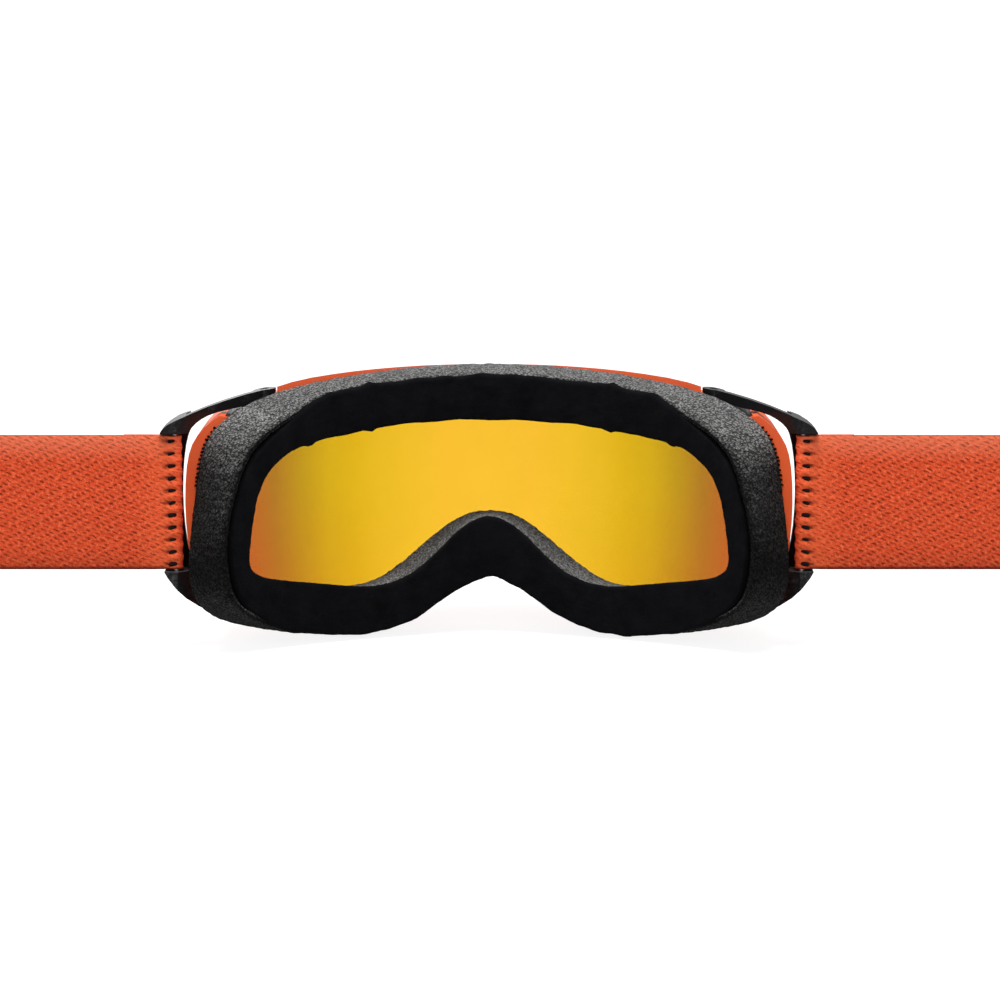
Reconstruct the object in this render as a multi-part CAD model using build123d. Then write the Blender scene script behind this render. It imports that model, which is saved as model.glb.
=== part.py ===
from build123d import *
import math
import os
import numpy as np

# Ski goggles with their strap, opened out flat to both sides.
# +Z is up, -Y is the front (the way the wearer looks), +Y is the face side,
# +X is the wearer's left. Millimetres.
# The design origin is the middle of the face contact surface; SHIFT then moves every
# piece so that the origin is the centre of the whole object's box.
SHIFT = (0.0, 2.93, 2.72)

# ---------------------------------------------------------------- driving dimensions
FACE_R = 95.0            # plan radius of the face contact surface
FACE_CY = 95.0           # y of its vertical axis
FOAM_T = 15.0            # foam and facing together, square to the contact surface
FACING_T = 1.8           # velour facing
FACING_GAP = 0.02        # between facing and foam
GLUE = 0.08              # room for adhesive between foam and flange
FLANGE_T = 2.0
BASE_R = FACE_R + FOAM_T         # surface where the cushion meets the flange
FLANGE_R = BASE_R + FLANGE_T     # front of the flange

LENS_CY = 71.0           # y of the vertical axis of the cylindrical lenses
INNER_LENS_R = 108.0     # inside face of the inner lens
INNER_LENS_T = 0.8
SPACER_T = 3.6
SPACER_GAP = 0.02        # between the spacer and each lens
OUTER_LENS_T = 1.6
SPACER_R = INNER_LENS_R + INNER_LENS_T
OUTER_LENS_R = SPACER_R + SPACER_T
LENS_FRONT_R = OUTER_LENS_R + OUTER_LENS_T

WALL = 2.0               # frame wall
RIM_LIP = 1.8            # frame lip in front of the lens
LIP_BACK_R = INNER_LENS_R - 2.2  # back of the lip behind the inner lens
FRAME_Y_FRONT, FRAME_Y_BACK = -52.0, 42.0
RIM_RING_R = 118.0       # lens-axis radius of the frame skin's ring near the rim
LENS_OUTLINE_R = 114.4   # lens-axis radius where the lens outline is taken

# insets from the frame's outline at the outer lens
LENS_INSET = 2.0
SEAT_INSET = 1.7
SPACER_HOLE_INSET = 4.8
SIGHT_INSET = 4.2        # opening in front of the lenses
BACK_INSET = 5.0         # opening behind the lenses

FIT = 0.05               # running clearance on a radius
PRESS = 0.01             # clearance on the radius of a hole that holds a pin or bar
PIVOT_X, PIVOT_Y = 67.0, -0.9
PIVOT_R = 1.25
EYE_R = 3.4              # rounded arm end, and the frame boss at the pivot
ARM_IN_R, ARM_OUT_R = 114.2, 118.0  # face-axis radii of the arm pocket and the arm
POCKET_X = 62.9          # pockets start here
POCKET_Y = -6.5          # front of the pockets

STRAP_W = 40.0
STRAP_HALF = STRAP_W / 2
WEB_T = 1.2              # webbing thickness
BAR_R = 0.75             # steel strap bar
BAR_L = 45.0
BAR_X, BAR_Y = 92.0, 20.9
STRAP_LAP_X = 107.0      # end of the doubled webbing at the strap bar
ADJ_X = 166.0            # middle of the strap adjuster
ADJ_BAR_R = 0.9
CLIP_BAR_X = 236.0       # webbing bar of the rear clip
CLIP_BAR_R = 1.2
CLIP_BAR_Y = BAR_Y - CLIP_BAR_R - FIT
RETURN_Y = CLIP_BAR_Y - CLIP_BAR_R - FIT - WEB_T / 2  # middle of the returning webbing
END_X = 262.0            # end of the socket half of the clip
STITCH_X, STITCH_Z = 2.2, 1.1
STITCH_PITCH, STITCH_SIDE_COUNT = 3.66, 5

FAR = 60.0               # cutting tools reach this far in y and z
FAR_R = 160.0            # radius beyond everything in the frame
DRUM_H = 140.0

# ---------------------------------------------------------------- outlines
# (x, z) of the +X half, from top centre round to the nose centre
# contact surface, outer edge of the cushion
CONTACT_OUTER = [
    (0, 34.5), (9, 34.4), (18, 33.9), (27, 33.2), (35, 32.5), (44.8, 30.9), (51, 29.0),
    (56, 26.6), (60, 24.2), (64, 21.8), (67.6, 18.9), (70.2, 15.4), (72.7, 9.6), (74.3, 3.5),
    (75.7, -2), (76.6, -8), (76.8, -13), (76.4, -18), (75.4, -24.2), (74.1, -27.7),
    (72, -30.8), (68.2, -34.2), (63.5, -37), (58, -39.3), (50.8, -41.0), (44.5, -41.8),
    (38.6, -42.1), (32.7, -41.9), (27, -40.6), (21, -38.0), (15, -33.6), (9, -29.7),
    (3.5, -26.9), (0, -26.1)]
# contact surface, inner edge
CONTACT_INNER = [
    (0, 21.3), (9.9, 21.4), (17, 21.1), (24.2, 20.7), (31.2, 19.9), (38.3, 19), (45.2, 18),
    (51.5, 16.9), (56.7, 15.5), (60.4, 13.3), (63.3, 10.7), (65.5, 7.4), (67.5, 2.2),
    (68.9, -6.3), (69.7, -13.2), (69.9, -16.7), (69.0, -19.4), (66, -21.5), (62.6, -22.7),
    (55.9, -24.4), (49, -25.8), (41.5, -27.3), (35, -28.1), (29.4, -27.6), (24.0, -25.8),
    (20.4, -23.4), (17.3, -20.7), (14.2, -17.7), (11.2, -14.2), (7.6, -11.1), (3.8, -8.7),
    (0, -7.7)]
# base surface, outer edge
BASE_OUTER = [
    (0, 36.6), (8.8, 36.5), (17.9, 36.1), (26.9, 35.5), (35.8, 34.6), (44.7, 33.6),
    (50.5, 32.8), (56.3, 31.9), (62.1, 30.7), (67.4, 29.2), (73.4, 26.8), (78.4, 23.7),
    (81.0, 21.2), (82.6, 18.6), (83.7, 15.8), (84.5, 13), (85.4, 7.2), (86.1, 1.4),
    (86.8, -4.3), (87.4, -10.1), (87.9, -15.9), (87.9, -21.8), (86.4, -28.0), (83.9, -31.9),
    (80.1, -35.2), (76.0, -37.4), (70, -39.2), (62, -40.5), (54, -41.2), (46, -41.6),
    (38.6, -41.5), (32, -40.6), (26.5, -38.2), (21, -34.6), (15.5, -30.6), (9.5, -27.3),
    (4, -25.5), (0, -25.0)]
# base surface, inner edge
BASE_INNER = [
    (0, 22.0), (10, 22.0), (19, 21.7), (28, 21.3), (37, 20.6), (46, 19.8), (54, 19.0),
    (61, 17.9), (67, 15.8), (71.5, 12.6), (74.8, 8.4), (77.2, 2.6), (78.6, -6), (79.3, -13.5),
    (79.0, -18.8), (77.2, -23.0), (73.4, -26.0), (67, -27.7), (59, -28.9), (50, -29.8),
    (43, -30.2), (37, -29.4), (31.9, -27.4), (27.1, -23.9), (23.8, -21.3), (21.1, -18.9),
    (17.5, -15.9), (13.8, -13.0), (10.1, -10.7), (5.9, -8.8), (2.8, -8.3), (0, -8.2)]
# frame outline at the flange
FRAME = [
    (0, 36.1), (10, 36.1), (20, 35.9), (30, 35.5), (40, 34.9), (50, 34.0), (56.4, 33.2),
    (62.2, 32.0), (67.4, 30.7), (73.6, 28.3), (78, 25.9), (82.3, 23.2), (85.6, 19.9),
    (87.0, 16.9), (87.8, 13.4), (88.3, 8.2), (88.5, 1.5), (88.3, -5.4), (88.0, -9.5),
    (87.5, -14), (86.8, -19), (85.6, -24), (83.6, -28.4), (80.6, -32.4), (76.2, -35.9),
    (70, -38.4), (62, -40.0), (54, -40.7), (46, -41.0), (38.2, -40.6), (31.6, -39.0),
    (26, -36.2), (21, -32.9), (15.6, -29.2), (10, -26.2), (4.5, -24.6), (0, -24.2)]

# Outrigger in front view, (x, z) from top to bottom: the side away from the frame ...
OUTRIGGER_OUTER = [
    (62.0, 31.3), (65.0, 31.2), (67.5, 30.8), (73, 29.8), (79, 28.5), (85.3, 26.8),
    (89.4, 25.4), (93.6, 23.8), (96.4, 21.9), (97.3, 19.4), (97.4, 10), (97.4, -10),
    (97.0, -17.5), (95.6, -21.0), (93.4, -24.0), (90.4, -27.4), (86.4, -31.2), (81.6, -34.8),
    (76.2, -37.6), (70, -39.8), (65, -40.8), (62.0, -41.2)]
# ... and the side next to the frame
OUTRIGGER_INNER = [
    (62.0, 27.0), (66, 27.0), (70.3, 26.9), (73.5, 26.2), (77, 26.0), (80, 25.7),
    (83.4, 24.8), (86.2, 23.3), (88.3, 20.9), (89.1, 17.9), (89.7, 14.6), (90.2, 10.4),
    (90.5, 4.2), (90.5, -0.5), (90.3, -5), (89.9, -10), (89.2, -14.5), (88.0, -19.5),
    (85.8, -24.6), (82.4, -29.0), (78.0, -32.3), (74.0, -34.6), (70.3, -36.0), (66, -36.2),
    (62.0, -36.2)]
# Outrigger in plan, (x, y): arm edges, and the upright that joins the two arms
ARM_FRONT = [(60.0, -9.0), (66.5, -9.0), (71, -8.4), (78, -4.6), (85, 2.6), (91, 9.4),
             (95, 14.6), (97.6, 17.6)]
ARM_REAR = [(97.6, 22.2), (96.0, 23.6), (91.5, 24.0), (89.2, 22.6), (86.6, 19.6),
            (82.4, 15.2), (77, 10.6), (71.5, 6.6), (66.6, 3.6), (60.0, 0.2)]
BRIDGE = [(88.0, 11.0), (91.0, 12.4), (94.6, 15.2), (97.6, 17.6), (97.6, 18.5),
          (95.6, 18.2), (93.0, 16.2), (90.4, 14.4), (88.0, 13.4)]

# Notch in the flange above each upper arm, (x, z)
FLANGE_NOTCH = [(POCKET_X, 60), (POCKET_X, 30.0), (67.4, 28.8), (73.4, 26.3), (76.6, 24.6),
                (79.5, 25.2), (81.5, 60)]

# Clip, (x from the clip bar, z): upper spring arm and tongue of the plug half
CLIP_ARM = [(8.0, 18.0), (8.0, 22.6), (13.0, 22.9), (17.5, 23.0), (20.5, 22.0), (20.5, 24.2),
            (24.4, 21.0), (26.0, 17.6), (24.6, 16.6), (20.5, 18.8), (14, 19.4)]
CLIP_TONGUE = [(8.0, -7), (23.0, -5.4), (25.4, -3), (25.4, 3), (23.0, 5.4), (8.0, 7)]

# Cushion edges: matching (x, z) anchors, one column per place round the half outline,
# and the number of steps in each span between them
CONTACT_OUTER_ANCHORS = [(60, 24.2), (76.0, -4), (73.2, -29.3), (50.8, -41.0), (32.7, -41.9),
                         (17.5, -35.6)]
CONTACT_INNER_ANCHORS = [(58.8, 14.4), (68.6, -4), (69.0, -19.4), (49, -25.8), (34.0, -28.1),
                         (14.2, -17.7)]
BASE_OUTER_ANCHORS = [(74.0, 26.4), (86.8, -4), (84.4, -31.3), (56, -41.1), (33.0, -40.8),
                      (17.0, -31.7)]
BASE_INNER_ANCHORS = [(67.0, 15.8), (78.4, -4), (77.0, -23.2), (54, -29.4), (35.0, -28.7),
                      (13.8, -13.0)]
SPAN_STEPS = [4, 3, 3, 2, 2, 3, 3]

DENSE = 1440             # points in a smoothed closed outline
ARM_POINTS = 30          # points in a smoothed outrigger curve


# ---------------------------------------------------------------- outline helpers
def lengths(points):
    """Running length at each point of a path."""
    return np.r_[0, np.cumsum(np.hypot(*np.diff(points, axis=0).T))]


def along(points, measure, at):
    """Points at the given values of a measure that grows along the path."""
    return np.c_[np.interp(at, measure, points[:, 0]), np.interp(at, measure, points[:, 1])]


def blur(padded, sigma, reach):
    """Gaussian smoothing; the padding, reach points at each end, is used up."""
    kernel = np.exp(-0.5 * (np.arange(-reach, reach + 1) / sigma) ** 2)
    kernel /= kernel.sum()
    return np.c_[np.convolve(padded[:, 0], kernel, "valid"),
                 np.convolve(padded[:, 1], kernel, "valid")]


def closed(half, sigma=1.6):
    """Mirrors a half outline, spaces it evenly and smooths it over sigma millimetres."""
    half = np.array(half, float)
    ring = np.vstack([half, (half * [-1, 1])[-2:0:-1], half[:1]])
    length = lengths(ring)
    even = along(ring, length, np.arange(DENSE) * length[-1] / DENSE)
    sigma_points = sigma / (length[-1] / DENSE)
    reach = int(4 * sigma_points)
    return blur(np.vstack([even[-reach:], even, even[:reach]]), sigma_points, reach)


def normals(loop):
    """Outward unit normals of a loop that runs from top centre towards +x."""
    tangent = np.roll(loop, -1, 0) - np.roll(loop, 1, 0)
    tangent /= np.linalg.norm(tangent, axis=1)[:, None]
    return np.c_[-tangent[:, 1], tangent[:, 0]]


def adaptive(loop, count):
    """Points of a dense loop, closer together where it turns more sharply."""
    step = np.roll(loop, -1, 0) - loop
    angle = np.unwrap(np.arctan2(step[:, 1], step[:, 0]))
    turn = np.abs(np.diff(np.r_[angle, angle[0] - 2 * math.pi]))
    reach = 15
    kernel = np.ones(2 * reach + 1) / (2 * reach + 1)
    turn = np.convolve(np.r_[turn[-reach:], turn, turn[:reach]], kernel, "valid")
    cost = np.r_[0, np.cumsum(np.linalg.norm(step, axis=1) * 0.13 + turn * 3.2)]
    return along(np.vstack([loop, loop[:1]]), cost, np.arange(count) * cost[-1] / count)


def open_curve(points):
    """ARM_POINTS points of a smoothed open curve, closer together at its bends."""
    points = np.array(points, float)
    length = lengths(points)
    even = along(points, length, np.linspace(0, length[-1], 400))
    reach = 24
    head = 2 * even[0] - even[reach:0:-1]
    tail = 2 * even[-1] - even[-2:-reach - 2:-1]
    curve = blur(np.vstack([head, even, tail]), 9.0, reach)
    step = np.diff(curve, axis=0)
    turn = np.abs(np.diff(np.unwrap(np.arctan2(step[:, 1], step[:, 0]))))
    cost = np.hypot(*step.T) * 0.12 + np.r_[turn, turn[-1]] * 3.0
    cost = np.r_[0, np.cumsum(cost)]
    return along(curve, cost, np.linspace(0, cost[-1], ARM_POINTS))


def arc_y(x, radius, axis_y):
    """y of the front of a vertical cylinder at x."""
    return axis_y - np.sqrt(np.maximum(radius * radius - np.asarray(x, float) ** 2, 1.0))


def smoothstep(t):
    return t * t * (3 - 2 * t)


# ---------------------------------------------------------------- solid helpers
def polygon_face(points):
    return Face(Wire.make_polygon([Vector(*map(float, p)) for p in points], close=True))


def prism_y(points, y0, y1):
    """(x, z) polygon extruded along Y."""
    return Solid.extrude(polygon_face([(x, y0, z) for x, z in points]), Vector(0, y1 - y0, 0))


def prism_z(points, z0, z1):
    """(x, y) polygon extruded along Z."""
    return Solid.extrude(polygon_face([(x, y, z0) for x, y in points]), Vector(0, 0, z1 - z0))


def box(x0, x1, y0, y1, z0, z1):
    return Pos((x0 + x1) / 2, (y0 + y1) / 2, (z0 + z1) / 2) * Box(x1 - x0, y1 - y0, z1 - z0)


def post(x, y, z, radius, height):
    """Vertical cylinder centred on a point."""
    return Pos(x, y, z) * Cylinder(radius, height)


def face_drum(extra):
    """Drum on the face axis, extra millimetres bigger than the contact surface."""
    return post(0, FACE_CY, 0, FACE_R + extra, DRUM_H)


def lens_drum(radius):
    return post(0, LENS_CY, 0, radius, DRUM_H)


def face_band(inner_r, outer_r):
    return post(0, FACE_CY, 0, outer_r, DRUM_H) - post(0, FACE_CY, 0, inner_r, DRUM_H)


def faceted(rings, caps):
    """Solid skinned with triangles over point rings; capped, or closed on itself."""
    faces = []
    count = len(rings)
    for k in range(count - 1 if caps else count):
        a, b = rings[k], rings[(k + 1) % count]
        for i in range(len(a)):
            j = (i + 1) % len(a)
            faces.append(polygon_face((a[i], a[j], b[j])))
            faces.append(polygon_face((a[i], b[j], b[i])))
    if caps:
        faces += [polygon_face(rings[0]), polygon_face(rings[-1])]
    solid = Solid(Shell(faces))
    if solid.volume < 0:
        solid = Solid(solid.wrapped.Reversed())
    return solid


def one(shape):
    """The single biggest solid of a boolean result."""
    return max(shape.solids(), key=lambda solid: solid.volume)


def other_side(shape):
    return shape.mirror(Plane.YZ)


def cut_both(body, tool):
    """Cuts the tool and its mirror image on the other side."""
    return body - tool - other_side(tool)


def pivot_post(side, z, radius, height):
    return post(side * PIVOT_X, PIVOT_Y, z, radius, height)


def cut_pivots(body, radius, places):
    """Cuts posts on both pivot axes at (z, height) places."""
    for side in (1, -1):
        for z, height in places:
            body = body - pivot_post(side, z, radius, height)
    return body


# ---------------------------------------------------------------- cushion
def cushion_edge(half, anchors, radius):
    """3D points of one cushion edge, evenly spaced between its anchors."""
    path = closed(half, 1.3)[:DENSE // 2 + 1]
    length = lengths(path)
    stops = [length[int(np.argmin(np.hypot(*(path - anchor).T)))] for anchor in anchors]
    stops = [0.0] + stops + [length[-1]]
    at = [0.0]
    for start, end, steps in zip(stops[:-1], stops[1:], SPAN_STEPS):
        at += list(np.linspace(start, end, steps + 1)[1:])
    points = along(path, length, np.array(at))
    return np.c_[points[:, 0], arc_y(points[:, 0], radius, FACE_CY), points[:, 1]]


def cushion_block():
    """Ring of four-cornered sections, run past both surfaces so they can be trimmed."""
    contact_out = cushion_edge(CONTACT_OUTER, CONTACT_OUTER_ANCHORS, FACE_R)
    contact_in = cushion_edge(CONTACT_INNER, CONTACT_INNER_ANCHORS, FACE_R)
    base_out = cushion_edge(BASE_OUTER, BASE_OUTER_ANCHORS, BASE_R)
    base_in = cushion_edge(BASE_INNER, BASE_INNER_ANCHORS, BASE_R)
    overrun = 0.16
    out_step = (contact_out - base_out) * overrun
    in_step = (contact_in - base_in) * overrun
    sections = np.stack([contact_out + out_step, contact_in + in_step,
                         base_in - in_step, base_out - out_step], 1)
    mirrored = sections[-2:0:-1] * np.array([-1, 1, 1])
    return faceted(list(np.concatenate([sections, mirrored])), False)


def build_foam(ring):
    return one((ring & face_drum(FOAM_T - GLUE)) - face_drum(FACING_T))


def build_facing(ring):
    return one((ring & face_drum(FACING_T - FACING_GAP)) - face_drum(0))


# ---------------------------------------------------------------- frame outline
FRAME_DENSE = closed(FRAME)
FRAME_LOOP = adaptive(FRAME_DENSE, 96)
NEAREST = [int(np.argmin(np.hypot(*(FRAME_DENSE - q).T))) for q in FRAME_LOOP]
FRAME_NORMAL = normals(FRAME_DENSE)[NEAREST]
FRAME_Y = arc_y(FRAME_LOOP[:, 0], FLANGE_R, FACE_CY)
# The walls narrow towards the front, most of all at the middle of the brow
SIDEWAYS = smoothstep(np.clip((np.abs(FRAME_LOOP[:, 0]) - 54.0) / 26.0, 0, 1))
BROW = smoothstep(np.clip((FRAME_LOOP[:, 1] + 8.0) / 22.0, 0, 1))
TAPER = 0.165 * (1 - SIDEWAYS) * BROW + 0.012


def wall_outline(y, inset):
    """The frame's outline in front view, each point at its own depth y."""
    return FRAME_LOOP + FRAME_NORMAL * (-inset + TAPER * (y - FRAME_Y))[:, None]


def frame_block(inset):
    """Solid inside the frame's outline, its wall moved inwards by inset."""
    count = len(FRAME_LOOP)
    rings = []
    for y in (np.full(count, FRAME_Y_FRONT), arc_y(FRAME_LOOP[:, 0], RIM_RING_R, LENS_CY),
              FRAME_Y + 4.0, np.full(count, FRAME_Y_BACK)):
        outline = wall_outline(y, inset)
        rings.append(np.c_[outline[:, 0], y, outline[:, 1]])
    return faceted(rings, True)


def lens_prism(inset):
    """Straight-sided solid with the frame's outline at the outer lens."""
    y = arc_y(FRAME_LOOP[:, 0], LENS_OUTLINE_R, LENS_CY)
    return prism_y(wall_outline(y, inset), -FAR, FAR)


def arm_region(grow, x_min, inner_r, outer_r):
    """Space outside the outrigger's inner side, grown towards the frame, in a face band."""
    inner = open_curve(OUTRIGGER_INNER)
    tangent = np.gradient(inner, axis=0)
    tangent /= np.linalg.norm(tangent, axis=1)[:, None]
    inner = inner + np.c_[tangent[:, 1], -tangent[:, 0]] * grow
    points = [(x_min, FAR), (x_min, inner[0][1]), *inner, (x_min, inner[-1][1]),
              (x_min, -FAR), (110.0, -FAR), (110.0, FAR)]
    return prism_y(points, -FAR, 40) & face_band(inner_r, outer_r)


# ---------------------------------------------------------------- frame
def frame_room():
    """Room behind the lens, leaving walls round the arm pockets and the pivot bosses."""
    room = frame_block(WALL) & lens_drum(LIP_BACK_R)
    room = room - face_drum(FOAM_T + FLANGE_T)
    room = cut_both(room, arm_region(WALL, 60.5, ARM_IN_R - WALL, FAR_R))
    return cut_pivots(room, EYE_R, [(23, 10), (-32, 10)])


def cut_lens_openings(body):
    body = body - (lens_prism(BACK_INSET) & lens_drum(INNER_LENS_R))
    seat = lens_drum(LENS_FRONT_R + 0.1) - lens_drum(INNER_LENS_R - 0.1)
    body = body - (lens_prism(SEAT_INSET) & seat)
    return body - (lens_prism(SIGHT_INSET) - lens_drum(INNER_LENS_R))


def cut_arm_pockets(body):
    pocket = arm_region(0.6, POCKET_X, ARM_IN_R, FAR_R)
    body = cut_both(body, pocket & box(50, 120, POCKET_Y, FAR, -FAR, FAR))
    # in front of the upper arms the wall is only thinned from outside
    thinning = arm_region(-0.3, POCKET_X, ARM_IN_R, FAR_R)
    body = cut_both(body, thinning & box(50, 120, -FAR, POCKET_Y + 0.1, 0, FAR))
    # room for the rounded arm ends, above and below the bosses
    return cut_pivots(body, 4.2, [(36.4, 20), (-45.8, 20.8)])


def cut_wall_vents(body):
    """Seven vents through the top wall and two each side through the bottom wall."""
    vents = [(i * 14.6, 9.6, 24.0, FAR) for i in range(-3, 4)]  # x, width, z from, z to
    vents += [(side * x, 8.2, -FAR, -33.0) for side in (1, -1) for x in (38.5, 50.5)]
    for x, width, z0, z1 in vents:
        y_back = float(arc_y(abs(x) + width / 2, FLANGE_R, FACE_CY)) - 3.0
        y_front = float(arc_y(abs(x) - width / 2, LIP_BACK_R, LENS_CY)) + 3.0
        body = body - box(x - width / 2, x + width / 2, y_front, y_back, z0, z1)
    return body


def build_frame():
    body = frame_block(0) & lens_drum(LENS_FRONT_R + RIM_LIP)
    body = body - face_drum(FOAM_T)
    body = body - frame_room()
    # opening in the flange, just outside the cushion's inner edge
    hole = adaptive(closed(BASE_INNER), 60)
    hole = hole + normals(hole) * 0.5
    body = body - (prism_y(hole, -FAR, FAR) & lens_drum(LIP_BACK_R))
    body = cut_lens_openings(body)
    body = cut_arm_pockets(body)
    body = cut_both(body, prism_y(FLANGE_NOTCH, -FAR, 40) - face_drum(FOAM_T - 2))
    body = cut_pivots(body, PIVOT_R + PRESS, [(25.5, 9.0), (-34.5, 9.0)])
    return one(cut_wall_vents(body))


# ---------------------------------------------------------------- lenses and vent foam
def lens_sheet(inner_r, outer_r, hole_inset=None):
    """Curved sheet between two lens radii, as a ring if hole_inset is given."""
    band = lens_drum(outer_r) - lens_drum(inner_r)
    band = band & box(-120, 120, -80, FAR, -FAR, FAR)
    sheet = lens_prism(LENS_INSET) & band
    if hole_inset is not None:
        sheet = sheet - lens_prism(hole_inset)
    return one(sheet)


def vent_foam(x0, x1, z0, z1):
    """Strip of foam lining the inside of the frame wall."""
    foam = frame_block(WALL + 0.3) - frame_block(WALL + 2.7)
    foam = foam & lens_drum(LIP_BACK_R - 0.4)
    foam = foam - face_drum(FOAM_T + FLANGE_T + 0.4)
    return one(foam & box(x0, x1, -70, FAR, z0, z1))


# ---------------------------------------------------------------- outrigger
def build_outrigger():
    """Two curved arms, upper and lower, joined by an upright beside the frame."""
    outline = [*open_curve(OUTRIGGER_OUTER), *open_curve(OUTRIGGER_INNER)[::-1]]
    c_shape = prism_y(outline, -30, FAR)
    arms = prism_z(ARM_FRONT + ARM_REAR, -FAR, FAR)
    eye = pivot_post(1, 0, EYE_R, 120)
    bar_end = box(89.0, 99, 10, 30, -FAR, FAR)
    arms = arms & (face_band(ARM_IN_R + 0.2, ARM_OUT_R) + eye + bar_end)
    strap_gap = STRAP_HALF + 0.45
    arms = arms - box(60, 110, -30, FAR, -strap_gap, strap_gap)
    body = c_shape & (arms + prism_z(BRIDGE, -26, 26))
    # round the pivot ends
    for z0, z1 in ((20, 40), (-50, -20)):
        tip = box(55, PIVOT_X, -20, 20, z0, z1) - pivot_post(1, (z0 + z1) / 2, EYE_R, 60)
        body = body - tip
    # the arms turn on the pivot pins; the strap bar is held in blind holes
    body = body - pivot_post(1, 0, PIVOT_R + FIT, 120)
    return one(body - post(BAR_X, BAR_Y, 0, BAR_R + PRESS, BAR_L + 0.2))


def build_pivot_pins():
    return [pivot_post(1, z, PIVOT_R, 8.6) for z in (25.4, -35.0)]


# ---------------------------------------------------------------- webbing
def web_box(x0, x1, y0, y1):
    return box(x0, x1, y0, y1, -STRAP_HALF, STRAP_HALF)


def folded_end(x, y, bar_r, wedge_x, lap_x):
    """Webbing folded round a bar and doubled up to lap_x; the bar's hole is cut later."""
    outer_r = bar_r + FIT + WEB_T
    side = outer_r * 0.97
    fold = post(x, y, 0, outer_r, STRAP_W)
    wedge = prism_z([(x + 0.4, y - side), (wedge_x, y - WEB_T), (wedge_x, y + WEB_T),
                     (x + 0.4, y + side)], -STRAP_HALF, STRAP_HALF)
    return fold + wedge + web_box(wedge_x - 0.2, lap_x, y - WEB_T, y + WEB_T)


def bar_hole(x, y, bar_r):
    return post(x, y, 0, bar_r + FIT, STRAP_W + 2)


def stitches(x, y, half_depth):
    """Upright row of small blocks that pass right through the webbing."""
    row = []
    for i in range(-STITCH_SIDE_COUNT, STITCH_SIDE_COUNT + 1):
        z = i * STITCH_PITCH
        row.append(box(x - STITCH_X / 2, x + STITCH_X / 2, y - half_depth, y + half_depth,
                       z - STITCH_Z / 2, z + STITCH_Z / 2))
    return row


def sewn(webbing, row):
    """Webbing with room cut for its stitches."""
    for stitch in row:
        webbing = webbing - stitch
    return one(webbing)


def strap_run():
    """From the strap bar, in a single face-side layer, to the clip bar and round it."""
    x, y = CLIP_BAR_X, CLIP_BAR_Y
    single = web_box(STRAP_LAP_X - 0.5, x, BAR_Y, BAR_Y + WEB_T)
    loop = post(x, y, 0, CLIP_BAR_R + FIT + WEB_T, STRAP_W) - bar_hole(x, y, CLIP_BAR_R)
    loop = loop & box(x, x + 10, y - 10, y + 10, -30, 30)
    run = folded_end(BAR_X, BAR_Y, BAR_R, BAR_X + 4.2, STRAP_LAP_X) + single + loop
    return one(run - bar_hole(BAR_X, BAR_Y, BAR_R))


def return_run():
    """Back from the clip bar to the adjuster's middle bar."""
    lap_x = ADJ_X + 16.0
    run = folded_end(ADJ_X, RETURN_Y, ADJ_BAR_R, ADJ_X + 4.4, lap_x)
    run = run + web_box(lap_x - 0.5, CLIP_BAR_X - 0.02,
                        RETURN_Y - WEB_T / 2, RETURN_Y + WEB_T / 2)
    return run - bar_hole(ADJ_X, RETURN_Y, ADJ_BAR_R)


# ---------------------------------------------------------------- adjuster and clip
def build_adjuster():
    """Top and bottom rails, two uprights behind the strap and a round middle bar."""
    upright_y0, y_back = BAR_Y + WEB_T + 0.35, BAR_Y + WEB_T + 2.15
    y_front = RETURN_Y - ADJ_BAR_R - 1.5
    rail = box(ADJ_X - 10, ADJ_X + 10, y_front, y_back, STRAP_HALF + 0.6, STRAP_HALF + 3.6)
    rail = fillet(rail.edges().filter_by(Axis.Z), 1.6)
    body = rail + rail.mirror(Plane.XY)
    half_height = STRAP_HALF + 0.8
    for x in (ADJ_X - 8.2, ADJ_X + 8.2):
        upright = box(x - 1.8, x + 1.8, upright_y0, y_back, -half_height, half_height)
        body = body + fillet(upright.edges().filter_by(Axis.Z), 0.6)
    return one(body + post(ADJ_X, RETURN_Y, 0, ADJ_BAR_R, STRAP_W + 3))


def clip_body(x_end, thickness, half_height, corner_r):
    """Rounded plate with a window for the webbing and the bar it runs round."""
    x, y = CLIP_BAR_X, CLIP_BAR_Y
    body = box(x - 3.6, x_end, y - thickness / 2, y + thickness / 2,
               -half_height, half_height)
    body = fillet(body.edges().filter_by(Axis.Y), corner_r)
    window_z = STRAP_HALF + 0.7
    body = body - box(x - 9.0, x + 3.6, y - 10, y + 10, -window_z, window_z)
    return body + post(x, y, 0, CLIP_BAR_R, STRAP_W + 3)


def clip_prism(points, half_t):
    return prism_y([(CLIP_BAR_X + x, z) for x, z in points],
                   CLIP_BAR_Y - half_t, CLIP_BAR_Y + half_t)


def build_clip_male():
    arm = clip_prism(CLIP_ARM, 2.0)
    body = clip_body(CLIP_BAR_X + 8.5, 6.4, 24.0, 3.0)
    return one(body + arm + arm.mirror(Plane.XY) + clip_prism(CLIP_TONGUE, 1.2))


def build_clip_female():
    """Socket half, drawn on the +X side; open at its end and at top and bottom."""
    x, y = CLIP_BAR_X, CLIP_BAR_Y
    body = clip_body(END_X, 8.2, 25.4, 3.4)
    cavity = box(x + 8.2, END_X + 2, y - 2.4, y + 2.4, -23.2, 23.2)
    side_slots = box(x + 9.8, x + 18.0, y - 2.4, y + 2.4, -30, 30)
    return one(body - cavity - side_slots)


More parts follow.
